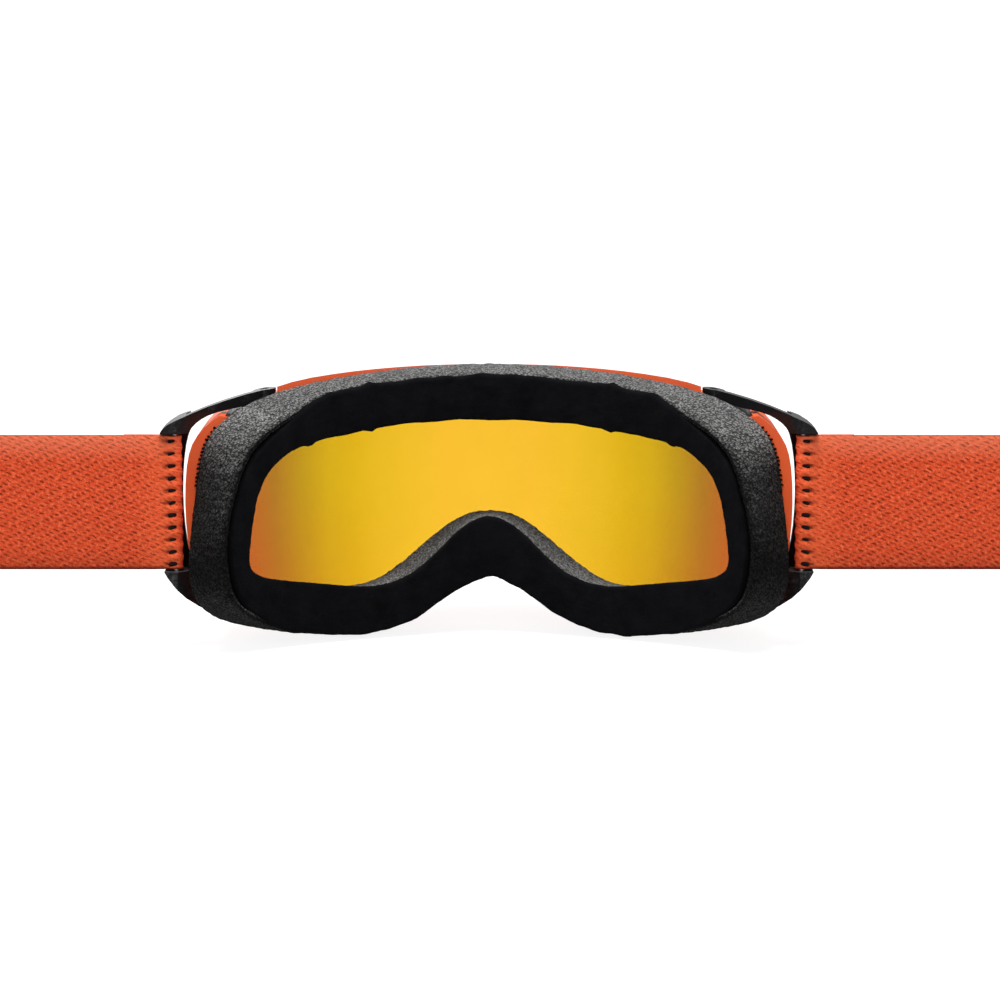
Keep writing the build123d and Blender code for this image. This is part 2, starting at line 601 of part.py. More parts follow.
# ---------------------------------------------------------------- build
def centre_pieces():
    ring = cushion_block()
    return {
        "face_foam": build_foam(ring),
        "foam_facing": build_facing(ring),
        "frame_shell": build_frame(),
        "inner_lens": lens_sheet(INNER_LENS_R, SPACER_R),
        "lens_spacer": lens_sheet(SPACER_R + SPACER_GAP, OUTER_LENS_R - SPACER_GAP,
                                  SPACER_HOLE_INSET),
        "outer_lens": lens_sheet(OUTER_LENS_R, LENS_FRONT_R),
        "vent_foam_top": vent_foam(-54, 54, 15, FAR),
        "clip_male": build_clip_male(),
        "clip_female": other_side(build_clip_female()),
    }


def left_pieces():
    """Pieces that occur on both sides; a list is one piece made of several solids."""
    strap_row = stitches(BAR_X + 2.4, BAR_Y, 2.05)
    return_row = stitches(ADJ_X + 7.2, RETURN_Y, WEB_T + 0.12)
    return {
        "vent_foam_bottom": vent_foam(32.5, 58.5, -FAR, -22),
        "outrigger": build_outrigger(),
        "pivot_pins": build_pivot_pins(),
        "strap_bar": post(BAR_X, BAR_Y, 0, BAR_R, BAR_L),
        "strap": sewn(strap_run(), strap_row),
        "strap_stitches": strap_row,
        "strap_return": sewn(return_run(), return_row),
        "return_stitches": return_row,
        "adjuster": build_adjuster(),
    }


pieces = centre_pieces()
for name, left in left_pieces().items():
    if isinstance(left, list):
        pieces[name + "_left"] = Compound(left)
        pieces[name + "_right"] = Compound([other_side(part) for part in left])
    else:
        pieces[name + "_left"] = left
        pieces[name + "_right"] = other_side(left)

os.makedirs("parts", exist_ok=True)
for name, shape in pieces.items():
    export_step(shape.moved(Location(SHIFT)), os.path.join("parts", name + ".step"))
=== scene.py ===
import math
import bpy
import bmesh
import numpy as np
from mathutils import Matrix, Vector, noise


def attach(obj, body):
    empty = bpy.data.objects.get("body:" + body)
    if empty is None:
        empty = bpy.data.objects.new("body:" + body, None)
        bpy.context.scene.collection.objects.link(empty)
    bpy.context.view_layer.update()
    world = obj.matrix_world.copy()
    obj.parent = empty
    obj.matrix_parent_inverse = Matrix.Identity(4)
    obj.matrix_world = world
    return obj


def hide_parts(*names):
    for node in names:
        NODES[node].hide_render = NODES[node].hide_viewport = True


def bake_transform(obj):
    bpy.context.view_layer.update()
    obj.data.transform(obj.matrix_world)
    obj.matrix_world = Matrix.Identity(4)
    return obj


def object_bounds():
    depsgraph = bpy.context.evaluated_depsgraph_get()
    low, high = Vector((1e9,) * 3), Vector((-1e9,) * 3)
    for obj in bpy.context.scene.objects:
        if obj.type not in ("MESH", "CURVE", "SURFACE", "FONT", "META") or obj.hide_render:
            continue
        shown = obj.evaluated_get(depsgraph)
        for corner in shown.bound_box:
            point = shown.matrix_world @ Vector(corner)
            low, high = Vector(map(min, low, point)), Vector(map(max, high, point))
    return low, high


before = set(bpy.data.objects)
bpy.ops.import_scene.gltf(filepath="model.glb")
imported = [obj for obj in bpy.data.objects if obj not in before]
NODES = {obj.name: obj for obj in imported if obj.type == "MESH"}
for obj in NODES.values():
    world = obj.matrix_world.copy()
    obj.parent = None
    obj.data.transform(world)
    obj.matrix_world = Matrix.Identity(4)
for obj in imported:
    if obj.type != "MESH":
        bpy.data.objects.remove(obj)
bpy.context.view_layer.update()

RNG = np.random.default_rng(11)
MM = 0.001

# ---------------------------------------------------------------- dimensions shared with the CAD source, millimetres
SH = np.array([0.0, 2.93, 2.72])
FACE_R, FACE_CY, FOAM_T, FACING_T = 95.0, 95.0, 15.0, 1.8
STRAP_W, WEB_T = 40.0, 1.2
BAR_X, BAR_Y, BAR_R = 92.0, 20.9, 0.75
ADJ_X, CLIP_BAR_X, CLIP_BAR_R, FIT = 166.0, 236.0, 1.2, 0.05
CLIP_BAR_Y = BAR_Y + WEB_T - (CLIP_BAR_R + FIT + WEB_T)
RETURN_Y = CLIP_BAR_Y - CLIP_BAR_R - FIT - WEB_T / 2

CO = [(0, 34.5), (9, 34.4), (18, 33.9), (27, 33.2), (35, 32.5), (44.8, 30.9), (51, 29.0), (56, 26.6), (60, 24.2), (64, 21.8),
      (67.6, 18.9), (70.2, 15.4), (72.7, 9.6), (74.3, 3.5), (75.7, -2), (76.6, -8), (76.8, -13), (76.4, -18), (75.4, -24.2),
      (74.1, -27.7), (72, -30.8), (68.2, -34.2), (63.5, -37), (58, -39.3), (50.8, -41.0), (44.5, -41.8), (38.6, -42.1),
      (32.7, -41.9), (27, -40.6), (21, -38.0), (15, -33.6), (9, -29.7), (3.5, -26.9), (0, -26.1)]
CI = [(0, 21.3), (9.9, 21.4), (17, 21.1), (24.2, 20.7), (31.2, 19.9), (38.3, 19), (45.2, 18), (51.5, 16.9), (56.7, 15.5), (60.4, 13.3),
      (63.3, 10.7), (65.5, 7.4), (67.5, 2.2), (68.9, -6.3), (69.7, -13.2), (69.9, -16.7), (69.0, -19.4), (66, -21.5), (62.6, -22.7),
      (55.9, -24.4), (49, -25.8), (41.5, -27.3), (35, -28.1), (29.4, -27.6), (24.0, -25.8), (20.4, -23.4), (17.3, -20.7), (14.2, -17.7),
      (11.2, -14.2), (7.6, -11.1), (3.8, -8.7), (0, -7.7)]
BO = [(0, 36.6), (8.8, 36.5), (17.9, 36.1), (26.9, 35.5), (35.8, 34.6), (44.7, 33.6), (50.5, 32.8), (56.3, 31.9), (62.1, 30.7), (67.4, 29.2),
      (73.4, 26.8), (78.4, 23.7), (81.0, 21.2), (82.6, 18.6), (83.7, 15.8), (84.5, 13), (85.4, 7.2), (86.1, 1.4), (86.8, -4.3), (87.4, -10.1),
      (87.9, -15.9), (87.9, -21.8), (86.4, -28.0), (83.9, -31.9), (80.1, -35.2), (76.0, -37.4), (70, -39.2), (62, -40.5), (54, -41.2),
      (46, -41.6), (38.6, -41.5), (32, -40.6), (26.5, -38.2), (21, -34.6), (15.5, -30.6), (9.5, -27.3), (4, -25.5), (0, -25.0)]
BI = [(0, 22.0), (10, 22.0), (19, 21.7), (28, 21.3), (37, 20.6), (46, 19.8), (54, 19.0), (61, 17.9), (67, 15.8), (71.5, 12.6),
      (74.8, 8.4), (77.2, 2.6), (78.6, -6), (79.3, -13.5), (79.0, -18.8), (77.2, -23.0), (73.4, -26.0), (67, -27.7), (59, -28.9), (50, -29.8),
      (43, -30.2), (37, -29.4), (31.9, -27.4), (27.1, -23.9), (23.8, -21.3), (21.1, -18.9), (17.5, -15.9), (13.8, -13.0), (10.1, -10.7),
      (5.9, -8.8), (2.8, -8.3), (0, -8.2)]
COUNTS = [4, 3, 3, 2, 2, 3, 3]
A_CO = [(60, 24.2), (76.0, -4), (73.2, -29.3), (50.8, -41.0), (32.7, -41.9), (17.5, -35.6)]
A_CI = [(58.8, 14.4), (68.6, -4), (69.0, -19.4), (49, -25.8), (34.0, -28.1), (14.2, -17.7)]
A_BO = [(74.0, 26.4), (86.8, -4), (84.4, -31.3), (56, -41.1), (33.0, -40.8), (17.0, -31.7)]
A_BI = [(67.0, 15.8), (78.4, -4), (77.0, -23.2), (54, -29.4), (35.0, -28.7), (13.8, -13.0)]


def closed(half, n, sigma):
    h = np.array(half, float)
    full = np.vstack([h, (h * [-1, 1])[-2:0:-1]])
    ring = np.vstack([full, full[:1]])
    s = np.r_[0, np.cumsum(np.hypot(*np.diff(ring, axis=0).T))]
    m = 1440
    u = np.arange(m) * s[-1] / m
    p = np.c_[np.interp(u, s, ring[:, 0]), np.interp(u, s, ring[:, 1])]
    k = sigma / (s[-1] / m)
    w = int(4 * k)
    g = np.exp(-0.5 * (np.arange(-w, w + 1) / k) ** 2)
    g /= g.sum()
    pad = np.vstack([p[-w:], p, p[:w]])
    p = np.c_[np.convolve(pad[:, 0], g, "valid"), np.convolve(pad[:, 1], g, "valid")]
    return p[:: m // n]


def stations(half, anchors, mult):
    h = closed(half, 1440, 1.3)[:721]
    s = np.r_[0, np.cumsum(np.hypot(*np.diff(h, axis=0).T))]
    at = [s[int(np.argmin(np.hypot(h[:, 0] - a, h[:, 1] - b)))] for a, b in anchors]
    at = [0.0] + at + [s[-1]]
    knots = np.r_[0, np.cumsum(COUNTS)] / sum(COUNTS)
    n = sum(COUNTS) * mult
    t = np.linspace(0, 1, n + 1)
    # a smooth monotone map from station number to arc length
    u = np.interp(t, knots, at)
    k = np.exp(-0.5 * (np.arange(-2 * mult, 2 * mult + 1) / (0.7 * mult)) ** 2)
    k /= k.sum()
    pad = np.r_[-u[2 * mult:0:-1], u, 2 * u[-1] - u[-2:-2 * mult - 2:-1]]
    u = np.convolve(pad, k, "valid")
    u[0], u[-1] = 0, s[-1]
    half_pts = np.c_[np.interp(u, s, h[:, 0]), np.interp(u, s, h[:, 1])]
    return np.vstack([half_pts, (half_pts * [-1, 1])[-2:0:-1]])


def arc_y(x, r, cy):
    return cy - np.sqrt(np.maximum(r * r - x * x, 1.0))


# ---------------------------------------------------------------- mesh helpers
def make_object(name, verts_mm, faces, material, body, smooth=True, replaces=()):
    me = bpy.data.meshes.new(name)
    me.from_pydata([tuple(v) for v in (np.asarray(verts_mm, float) + SH) * MM], [], [tuple(int(i) for i in f) for f in faces])
    me.validate()
    bm = bmesh.new()
    bm.from_mesh(me)
    bmesh.ops.recalc_face_normals(bm, faces=bm.faces)
    bm.to_mesh(me)
    bm.free()
    me.polygons.foreach_set("use_smooth", [smooth] * len(me.polygons))
    me.materials.append(material)
    ob = bpy.data.objects.new(name, me)
    bpy.context.scene.collection.objects.link(ob)
    if body:
        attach(ob, body)
    if replaces:
        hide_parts(*replaces)
    return ob


def torus_faces(n, m):
    """Quads of a grid of n rings of m points, closed both ways."""
    i, j = np.meshgrid(np.arange(n), np.arange(m), indexing="ij")
    a = i * m + j
    b = ((i + 1) % n) * m + j
    c = ((i + 1) % n) * m + (j + 1) % m
    d = i * m + (j + 1) % m
    return np.stack([a, b, c, d], -1).reshape(-1, 4)


def tube_faces(n, m):
    """Quads of n closed rings of m points, open in the first direction, with end caps."""
    i, j = np.meshgrid(np.arange(n - 1), np.arange(m), indexing="ij")
    a = i * m + j
    b = (i + 1) * m + j
    c = (i + 1) * m + (j + 1) % m
    d = i * m + (j + 1) % m
    return [tuple(q) for q in np.stack([a, b, c, d], -1).reshape(-1, 4)] + [tuple(range(m)), tuple((n - 1) * m + k for k in range(m))[::-1]]


# ---------------------------------------------------------------- materials
class Mat:
    """Small helper that wires shader nodes."""

    def __init__(self, name):
        self.m = bpy.data.materials.new(name)
        self.m.use_nodes = True
        self.t = self.m.node_tree
        self.t.nodes.clear()
        self.out = self.add("ShaderNodeOutputMaterial")

    def add(self, kind, **props):
        n = self.t.nodes.new(kind)
        for k, v in props.items():
            setattr(n, k, v)
        return n

    def put(self, socket, value):
        if isinstance(value, bpy.types.NodeSocket):
            self.t.links.new(value, socket)
        elif isinstance(value, (tuple, list)) and len(value) == 3 and socket.type == "RGBA":
            socket.default_value = (*value, 1.0)
        else:
            socket.default_value = value

    def math(self, op, a, b=0.0, c=None, clamp=False):
        n = self.add("ShaderNodeMath", operation=op, use_clamp=clamp)
        self.put(n.inputs[0], a)
        self.put(n.inputs[1], b)
        if c is not None:
            self.put(n.inputs[2], c)
        return n.outputs[0]

    def coords(self, scale=(1000, 1000, 1000), rot=(0, 0, 0)):
        c = self.add("ShaderNodeTexCoord")
        mp = self.add("ShaderNodeMapping")
        mp.inputs["Scale"].default_value = scale
        mp.inputs["Rotation"].default_value = rot
        self.t.links.new(c.outputs["Object"], mp.inputs["Vector"])
        return mp.outputs["Vector"]

    def noise(self, vec, scale, detail=3.0, rough=0.6):
        n = self.add("ShaderNodeTexNoise")
        self.put(n.inputs["Vector"], vec)
        n.inputs["Scale"].default_value = scale
        n.inputs["Detail"].default_value = detail
        n.inputs["Roughness"].default_value = rough
        return n.outputs["Fac"]

    def voronoi(self, vec, scale, feature="F1", rand=1.0):
        n = self.add("ShaderNodeTexVoronoi", feature=feature)
        self.put(n.inputs["Vector"], vec)
        n.inputs["Scale"].default_value = scale
        n.inputs["Randomness"].default_value = rand
        return n

    def ramp(self, fac, stops, mode="LINEAR"):
        n = self.add("ShaderNodeValToRGB")
        n.color_ramp.interpolation = mode
        el = n.color_ramp.elements
        while len(el) < len(stops):
            el.new(0.5)
        for e, (p, c) in zip(el, stops):
            e.position = p
            e.color = (*c, 1.0) if not isinstance(c, float) else (c, c, c, 1.0)
        self.put(n.inputs["Fac"], fac)
        return n.outputs["Color"]

    def mix(self, fac, a, b, kind="MIX"):
        n = self.add("ShaderNodeMix", data_type="RGBA", blend_type=kind)
        self.put(n.inputs[0], fac)
        self.put(n.inputs[6], a)
        self.put(n.inputs[7], b)
        return n.outputs[2]

    def bump(self, height, strength, distance, normal=None):
        n = self.add("ShaderNodeBump")
        n.inputs["Strength"].default_value = strength
        n.inputs["Distance"].default_value = distance
        self.put(n.inputs["Height"], height)
        if normal is not None:
            self.put(n.inputs["Normal"], normal)
        return n.outputs["Normal"]

    def principled(self, **kw):
        n = self.add("ShaderNodeBsdfPrincipled")
        for k, v in kw.items():
            self.put(n.inputs[k.replace("_", " ")], v)
        return n.outputs["BSDF"]

    def done(self, shader):
        self.t.links.new(shader, self.out.inputs["Surface"])
        return self.m


def lin(r, g, b):
    return tuple(((c / 255) / 12.92) if c / 255 <= 0.04045 else (((c / 255) + 0.055) / 1.055) ** 2.4 for c in (r, g, b))


def mat_foam(name, dark, light, painted_glint_col, cell=1.35):
    m = Mat(name)
    v = m.coords()
    warp = m.noise(v, 1.3, 2, 0.5)
    cells = m.voronoi(v, cell)
    fine = m.voronoi(v, cell * 2.4)
    n = m.noise(v, 1.5, 5, 0.8)
    big = m.noise(v, 0.12, 3, 0.5)
    col = m.ramp(n, [(0.34, dark), (0.56, light), (0.74, tuple(min(1, c * 2.2) for c in light))])
    # painted shade: the sunken borders between the cells are coloured darker
    painted_pit_shade = m.ramp(cells.outputs["Distance"], [(0.0, 1.0), (0.30, 0.8), (0.62, 0.06)])
    col = m.mix(1.0, col, painted_pit_shade, "MULTIPLY")
    col = m.mix(1.0, col, m.ramp(big, [(0.3, 0.62), (0.7, 1.15)]), "MULTIPLY")
    # painted glints: rare bright specks on the foam
    painted_glint_specks = m.ramp(fine.outputs["Distance"], [(0.0, 1.0), (0.16, 0.6), (0.28, 0.0)])
    rare = m.ramp(m.noise(v, 1.9, 3, 0.6), [(0.50, 0.0), (0.58, 1.0)])
    col = m.mix(m.math("MULTIPLY", painted_glint_specks, rare), col, painted_glint_col)
    h = m.math("ADD", m.math("MULTIPLY", cells.outputs["Distance"], -0.9), m.math("MULTIPLY", fine.outputs["Distance"], -0.5))
    h = m.math("ADD", h, m.math("MULTIPLY", warp, 0.5))
    nrm = m.bump(h, 1.0, 0.0009)
    # painted light and shade: the colour is much lighter where the wall faces up and darkest on upright walls, with
    # painted sheen on up-facing walls
    geo = m.add("ShaderNodeNewGeometry")
    sep = m.add("ShaderNodeSeparateXYZ")
    m.t.links.new(geo.outputs["Normal"], sep.inputs[0])
    up = m.ramp(m.math("MULTIPLY_ADD", sep.outputs["Z"], 0.5, 0.5), [(0.15, 0.20), (0.5, 0.026), (0.66, 0.14), (0.9, 1.0)])
    col = m.mix(1.0, col, up, "MULTIPLY")
    return m.done(m.principled(Base_Color=col, Roughness=0.95, Normal=nrm, Specular_IOR_Level=0.10, Sheen_Weight=m.math("MULTIPLY", up, 0.20), Sheen_Roughness=0.5))


def mat_fleece():
    m = Mat("fleece_black")
    v = m.coords()
    n = m.noise(v, 0.16, 4, 0.6)
    f = m.noise(v, 3.2, 4, 0.7)
    col = m.ramp(n, [(0.3, (0.0022, 0.0023, 0.0028)), (0.7, (0.0056, 0.0058, 0.0068))])
    col = m.mix(1.0, col, m.ramp(f, [(0.3, 0.55), (0.72, 1.0)]), "MULTIPLY")
    h = m.math("ADD", m.math("MULTIPLY", f, 0.8), m.math("MULTIPLY", m.noise(v, 0.35, 2), 1.2))
    nrm = m.bump(h, 0.7, 0.0003)
    return m.done(m.principled(Base_Color=col, Roughness=1.0, Normal=nrm, Specular_IOR_Level=0.04, Sheen_Weight=0.02, Sheen_Roughness=0.6, Sheen_Tint=(0.5, 0.5, 0.6)))


def mat_webbing():
    m = Mat("webbing_orange")
    c = m.add("ShaderNodeTexCoord")
    sep = m.add("ShaderNodeSeparateXYZ")
    m.t.links.new(c.outputs["Object"], sep.inputs[0])
    x = m.math("MULTIPLY", sep.outputs["X"], 1000.0)
    z = m.math("SUBTRACT", m.math("MULTIPLY", sep.outputs["Z"], 1000.0), 2.72)
    ax = m.math("ABSOLUTE", x)
    flat = m.add("ShaderNodeCombineXYZ")
    m.put(flat.inputs[0], x)
    m.put(flat.inputs[2], z)
    p = flat.outputs[0]
    w1, w2 = m.noise(p, 0.55, 3, 0.6), m.noise(p, 0.72, 3, 0.6)
    # staggered rows of sunken picks that lean down to the right as seen from the face side
    xx = m.math("ADD", x, m.math("MULTIPLY", w1, 2.2))
    zz = m.math("ADD", m.math("ADD", z, m.math("MULTIPLY", x, -0.38)), m.math("MULTIPLY", w2, 1.3))
    v = m.math("DIVIDE", zz, 1.18)
    row = m.math("FLOOR", v)
    u = m.math("ADD", m.math("DIVIDE", xx, 2.7), m.math("MULTIPLY", row, 0.5))
    a = m.math("MULTIPLY", m.math("ABSOLUTE", m.math("SUBTRACT", m.math("FRACT", u), 0.5)), 2.7 / 0.86)
    b = m.math("MULTIPLY", m.math("ABSOLUTE", m.math("SUBTRACT", m.math("FRACT", v), 0.5)), 1.18 / 0.34)
    d = m.math("SQRT", m.math("ADD", m.math("MULTIPLY", a, a), m.math("MULTIPLY", b, b)))
    pick = m.ramp(m.math("MULTIPLY", d, 0.5), [(0.18, 1.0), (0.60, 0.0)])
    amount = m.ramp(m.noise(p, 0.5, 3, 0.6), [(0.36, 0.25), (0.62, 1.0)])
    pick = m.math("MULTIPLY", pick, amount)
    fine = m.noise(p, 2.4, 4, 0.75)
    mid = m.noise(p, 0.9, 3, 0.6)
    base = m.ramp(mid, [(0.28, lin(206, 62, 31)), (0.50, lin(231, 85, 45)), (0.70, lin(248, 114, 72))])
    # painted shade: the sunken picks are coloured darker
    base = m.mix(m.math("MULTIPLY", pick, 0.92), base, lin(140, 32, 14))
    base = m.mix(1.0, base, m.ramp(fine, [(0.28, 0.66), (0.58, 1.0)]), "MULTIPLY")
    # painted light: a painted highlight along the upper edge, painted shade on the lower part, and a painted highlight
    # on the fold near the strap bar
    crown = m.ramp(m.math("MULTIPLY_ADD", z, 1 / 40.0, 0.5, clamp=True), [(0.0, 0.0), (0.80, 0.0), (0.95, 1.0)])
    base = m.mix(m.math("MULTIPLY", crown, 0.42), base, lin(250, 140, 104))
    painted_low_shade = m.ramp(m.math("MULTIPLY_ADD", z, 1 / 40.0, 0.5, clamp=True), [(0.0, 0.70), (0.16, 0.94), (0.5, 1.0)])
    base = m.mix(1.0, base, painted_low_shade, "MULTIPLY")
    painted_fold_light = m.math("MULTIPLY", m.math("SUBTRACT", 104.0, ax), 0.09, clamp=True)
    base = m.mix(m.math("MULTIPLY", painted_fold_light, 0.55), base, lin(246, 110, 64))
    # shade in the dimples that the tacks pull
    rowz = m.math("COSINE", m.math("MULTIPLY", z, 2 * math.pi / 3.66))
    g = m.math("MULTIPLY", m.math("SUBTRACT", ax, 94.0), 1 / 1.7)
    g = m.math("POWER", 2.718, m.math("MULTIPLY", m.math("MULTIPLY", g, g), -1.0))
    dim = m.math("MULTIPLY", g, m.math("POWER", m.math("MAXIMUM", rowz, 0.0), 1.6))
    base = m.mix(m.math("MULTIPLY", dim, 0.92), base, lin(96, 20, 9))
    # darker band along the lower edge, brown line along the upper edge
    low = m.math("MULTIPLY", m.math("SUBTRACT", -18.7, z), 1.2, clamp=True)
    base = m.mix(m.math("MULTIPLY", low, 0.85), base, lin(84, 18, 8))
    top = m.math("MULTIPLY", m.math("SUBTRACT", z, 19.35), 1.8, clamp=True)
    base = m.mix(m.math("MULTIPLY", top, 0.6), base, lin(140, 56, 32))
    h = m.math("ADD", m.math("MULTIPLY", pick, -1.0), m.math("ADD", m.math("MULTIPLY", fine, 0.8), m.math("MULTIPLY", mid, 0.6)))
    nrm = m.bump(h, 1.0, 0.0005)
    return m.done(m.principled(Base_Color=base, Roughness=0.9, Normal=nrm, Specular_IOR_Level=0.15, Sheen_Weight=0.12, Sheen_Roughness=0.45, Sheen_Tint=lin(255, 150, 110)))


def mat_tpu():
    m = Mat("frame_orange")
    v = m.coords()
    n = m.noise(v, 0.05, 3, 0.5)
    col = m.ramp(n, [(0.3, lin(216, 70, 28)), (0.7, lin(230, 86, 36))])
    geo = m.add("ShaderNodeNewGeometry")
    # painted highlight: convex edges are coloured lighter
    edge = m.ramp(geo.outputs["Pointiness"], [(0.49, 0.0), (0.56, 1.0)])
    col = m.mix(m.math("MULTIPLY", edge, 0.25), col, lin(246, 128, 78))
    # the seats under the upper hinge arms are moulded black
    c = m.add("ShaderNodeTexCoord")
    so = m.add("ShaderNodeSeparateXYZ")
    m.t.links.new(c.outputs["Object"], so.inputs[0])
    px = m.math("MULTIPLY", m.math("ABSOLUTE", so.outputs["X"]), 1000.0)
    pz = m.math("MULTIPLY", so.outputs["Z"], 1000.0)
    seat = m.math("MULTIPLY", m.math("GREATER_THAN", px, 63.0), m.math("LESS_THAN", px, 77.6))
    seat = m.math("MULTIPLY", seat, m.math("GREATER_THAN", pz, 26.0))
    seat = m.math("MULTIPLY", seat, m.math("LESS_THAN", m.math("ABSOLUTE", m.math("SUBTRACT", so.outputs["Y"], 0.006)), 0.013))
    col = m.mix(seat, col, (0.005, 0.005, 0.0055))
    f = m.noise(v, 5.0, 3, 0.6)
    rough = m.math("ADD", 0.38, m.math("MULTIPLY", f, 0.16))
    nrm = m.bump(f, 0.12, 0.0001)
    return m.done(m.principled(Base_Color=col, Roughness=rough, Normal=nrm, Specular_IOR_Level=0.45, Subsurface_Weight=0.06, Subsurface_Radius=(0.004, 0.001, 0.0005), Subsurface_Scale=0.3))


def mat_plastic(name, c0, c1, r0, tex=0.25, top=0.012):
    m = Mat(name)
    v = m.coords()
    n = m.noise(v, 0.4, 3, 0.5)
    f = m.noise(v, 7.0, 3, 0.6)
    geo = m.add("ShaderNodeNewGeometry")
    wear = m.math("MULTIPLY", m.ramp(geo.outputs["Pointiness"], [(0.52, 0.0), (0.62, 1.0)]), m.ramp(m.noise(v, 0.9, 4, 0.7), [(0.45, 0.0), (0.7, 1.0)]))
    col = m.mix(n, c0, c1)
    col = m.mix(m.math("MULTIPLY", wear, 0.35), col, (0.16, 0.16, 0.165))
    sep = m.add("ShaderNodeSeparateXYZ")
    m.t.links.new(geo.outputs["Normal"], sep.inputs[0])
    # painted highlight: up-facing faces are coloured lighter grey
    col = m.mix(m.ramp(sep.outputs["Z"], [(0.55, 0.0), (0.85, 1.0)]), col, (top, top, top * 1.04))
    rough = m.math("ADD", r0, m.math("MULTIPLY", f, 0.15))
    nrm = m.bump(f, tex, 0.0001)
    return m.done(m.principled(Base_Color=col, Roughness=rough, Normal=nrm, Specular_IOR_Level=0.17))


def mat_steel():
    m = Mat("steel")
    v = m.coords(scale=(6000, 6000, 200))
    f = m.noise(v, 1.0, 3, 0.6)
    rough = m.math("ADD", 0.22, m.math("MULTIPLY", f, 0.18))
    col = m.ramp(f, [(0.3, (0.42, 0.42, 0.43)), (0.7, (0.6, 0.6, 0.61))])
    return m.done(m.principled(Base_Color=col, Metallic=1.0, Roughness=rough))


def mat_thread():
    m = Mat("thread_black")
    v = m.coords(scale=(1000, 1000, 1000), rot=(0, 0.6, 0))
    w = m.add("ShaderNodeTexWave", wave_type="BANDS", bands_direction="X")
    m.put(w.inputs["Vector"], v)
    w.inputs["Scale"].default_value = 1.6
    w.inputs["Distortion"].default_value = 0.6
    col = m.ramp(w.outputs["Fac"], [(0.2, (0.002, 0.0015, 0.0015)), (0.9, (0.010, 0.007, 0.007))])
    nrm = m.bump(w.outputs["Fac"], 0.8, 0.00015)
    return m.done(m.principled(Base_Color=col, Roughness=0.75, Normal=nrm, Specular_IOR_Level=0.15))


def mat_inner_lens():
    m = Mat("lens_amber")
    c = m.add("ShaderNodeTexCoord")
    sep = m.add("ShaderNodeSeparateXYZ")
    m.t.links.new(c.outputs["Object"], sep.inputs[0])
    ax = m.math("MULTIPLY", m.math("ABSOLUTE", sep.outputs["X"]), 1 / 0.084)
    cols = [(0.0, (251, 196, 52)), (14, (250, 194, 51)), (24, (243, 193, 44)), (34, (235, 188, 38)), (41, (226, 181, 29)), (49.5, (214, 173, 29)),
            (57.5, (193, 151, 32)), (65, (178, 124, 40)), (72.5, (190, 104, 46)), (80, (186, 88, 44))]
    stops = [(a / 84.0, tuple(math.sqrt(k) for k in lin(*rgb))) for a, rgb in cols]
    tint = m.ramp(ax, stops)
    # a little redder towards the outer lower corners
    z = m.math("MULTIPLY", sep.outputs["Z"], 1000.0)
    low = m.math("MULTIPLY", m.math("SUBTRACT", 2.0, z), 1 / 30.0, clamp=True)
    out = m.math("POWER", ax, 2.5)
    tint = m.mix(m.math("MULTIPLY", m.math("MULTIPLY", low, out), 0.55), tint, tuple(math.sqrt(k) for k in lin(205, 92, 40)))
    smear = m.ramp(m.noise(m.coords(scale=(60, 60, 60)), 1.0, 4, 0.6), [(0.3, 0.876), (0.7, 0.889)])
    tint = m.mix(1.0, tint, smear, "MULTIPLY")
    tr = m.add("ShaderNodeBsdfTransparent")
    m.put(tr.inputs["Color"], tint)
    gl = m.add("ShaderNodeBsdfGlossy")
    gl.inputs["Roughness"].default_value = 0.04
    gl.inputs["Color"].default_value = (*lin(255, 190, 90), 1)
    fr = m.add("ShaderNodeFresnel")
    fr.inputs["IOR"].default_value = 1.35
    mx = m.add("ShaderNodeMixShader")
    m.put(mx.inputs[0], m.math("MULTIPLY", fr.outputs[0], 0.35))
    m.t.links.new(tr.outputs[0], mx.inputs[1])
    m.t.links.new(gl.outputs[0], mx.inputs[2])
    return m.done(mx.outputs[0])


def mat_outer_lens():
    m = Mat("lens_mirror")
    geo = m.add("ShaderNodeNewGeometry")
    sep = m.add("ShaderNodeSeparateXYZ")
    m.t.links.new(geo.outputs["True Normal"], sep.inputs[0])
    c = m.add("ShaderNodeTexCoord")
    so = m.add("ShaderNodeSeparateXYZ")
    m.t.links.new(c.outputs["Object"], so.inputs[0])
    front = m.math("LESS_THAN", sep.outputs["Y"], -0.2)
    face = m.math("SUBTRACT", 1.0, geo.outputs["Backfacing"])
    coat = m.math("MULTIPLY", front, face)
    zf = m.math("ADD", m.math("MULTIPLY", so.outputs["Z"], 1 / 0.08), 0.5, clamp=True)
    col = m.ramp(zf, [(0.0, lin(255, 92, 30)), (0.45, lin(255, 128, 42)), (1.0, lin(255, 178, 74))])
    gl = m.add("ShaderNodeBsdfGlossy")
    gl.inputs["Roughness"].default_value = 0.03
    m.put(gl.inputs["Color"], col)
    tr = m.add("ShaderNodeBsdfTransparent")
    m.put(tr.inputs["Color"], m.mix(m.math("MULTIPLY", coat, 1.0), (0.995, 0.995, 0.995), (0.55, 0.42, 0.32)))
    fr = m.add("ShaderNodeFresnel")
    fr.inputs["IOR"].default_value = 1.3
    fac = m.math("ADD", m.math("MULTIPLY", coat, 0.62), m.math("MULTIPLY", fr.outputs[0], 0.10), clamp=True)
    mx = m.add("ShaderNodeMixShader")
    m.put(mx.inputs[0], fac)
    m.t.links.new(tr.outputs[0], mx.inputs[1])
    m.t.links.new(gl.outputs[0], mx.inputs[2])
    return m.done(mx.outputs[0])


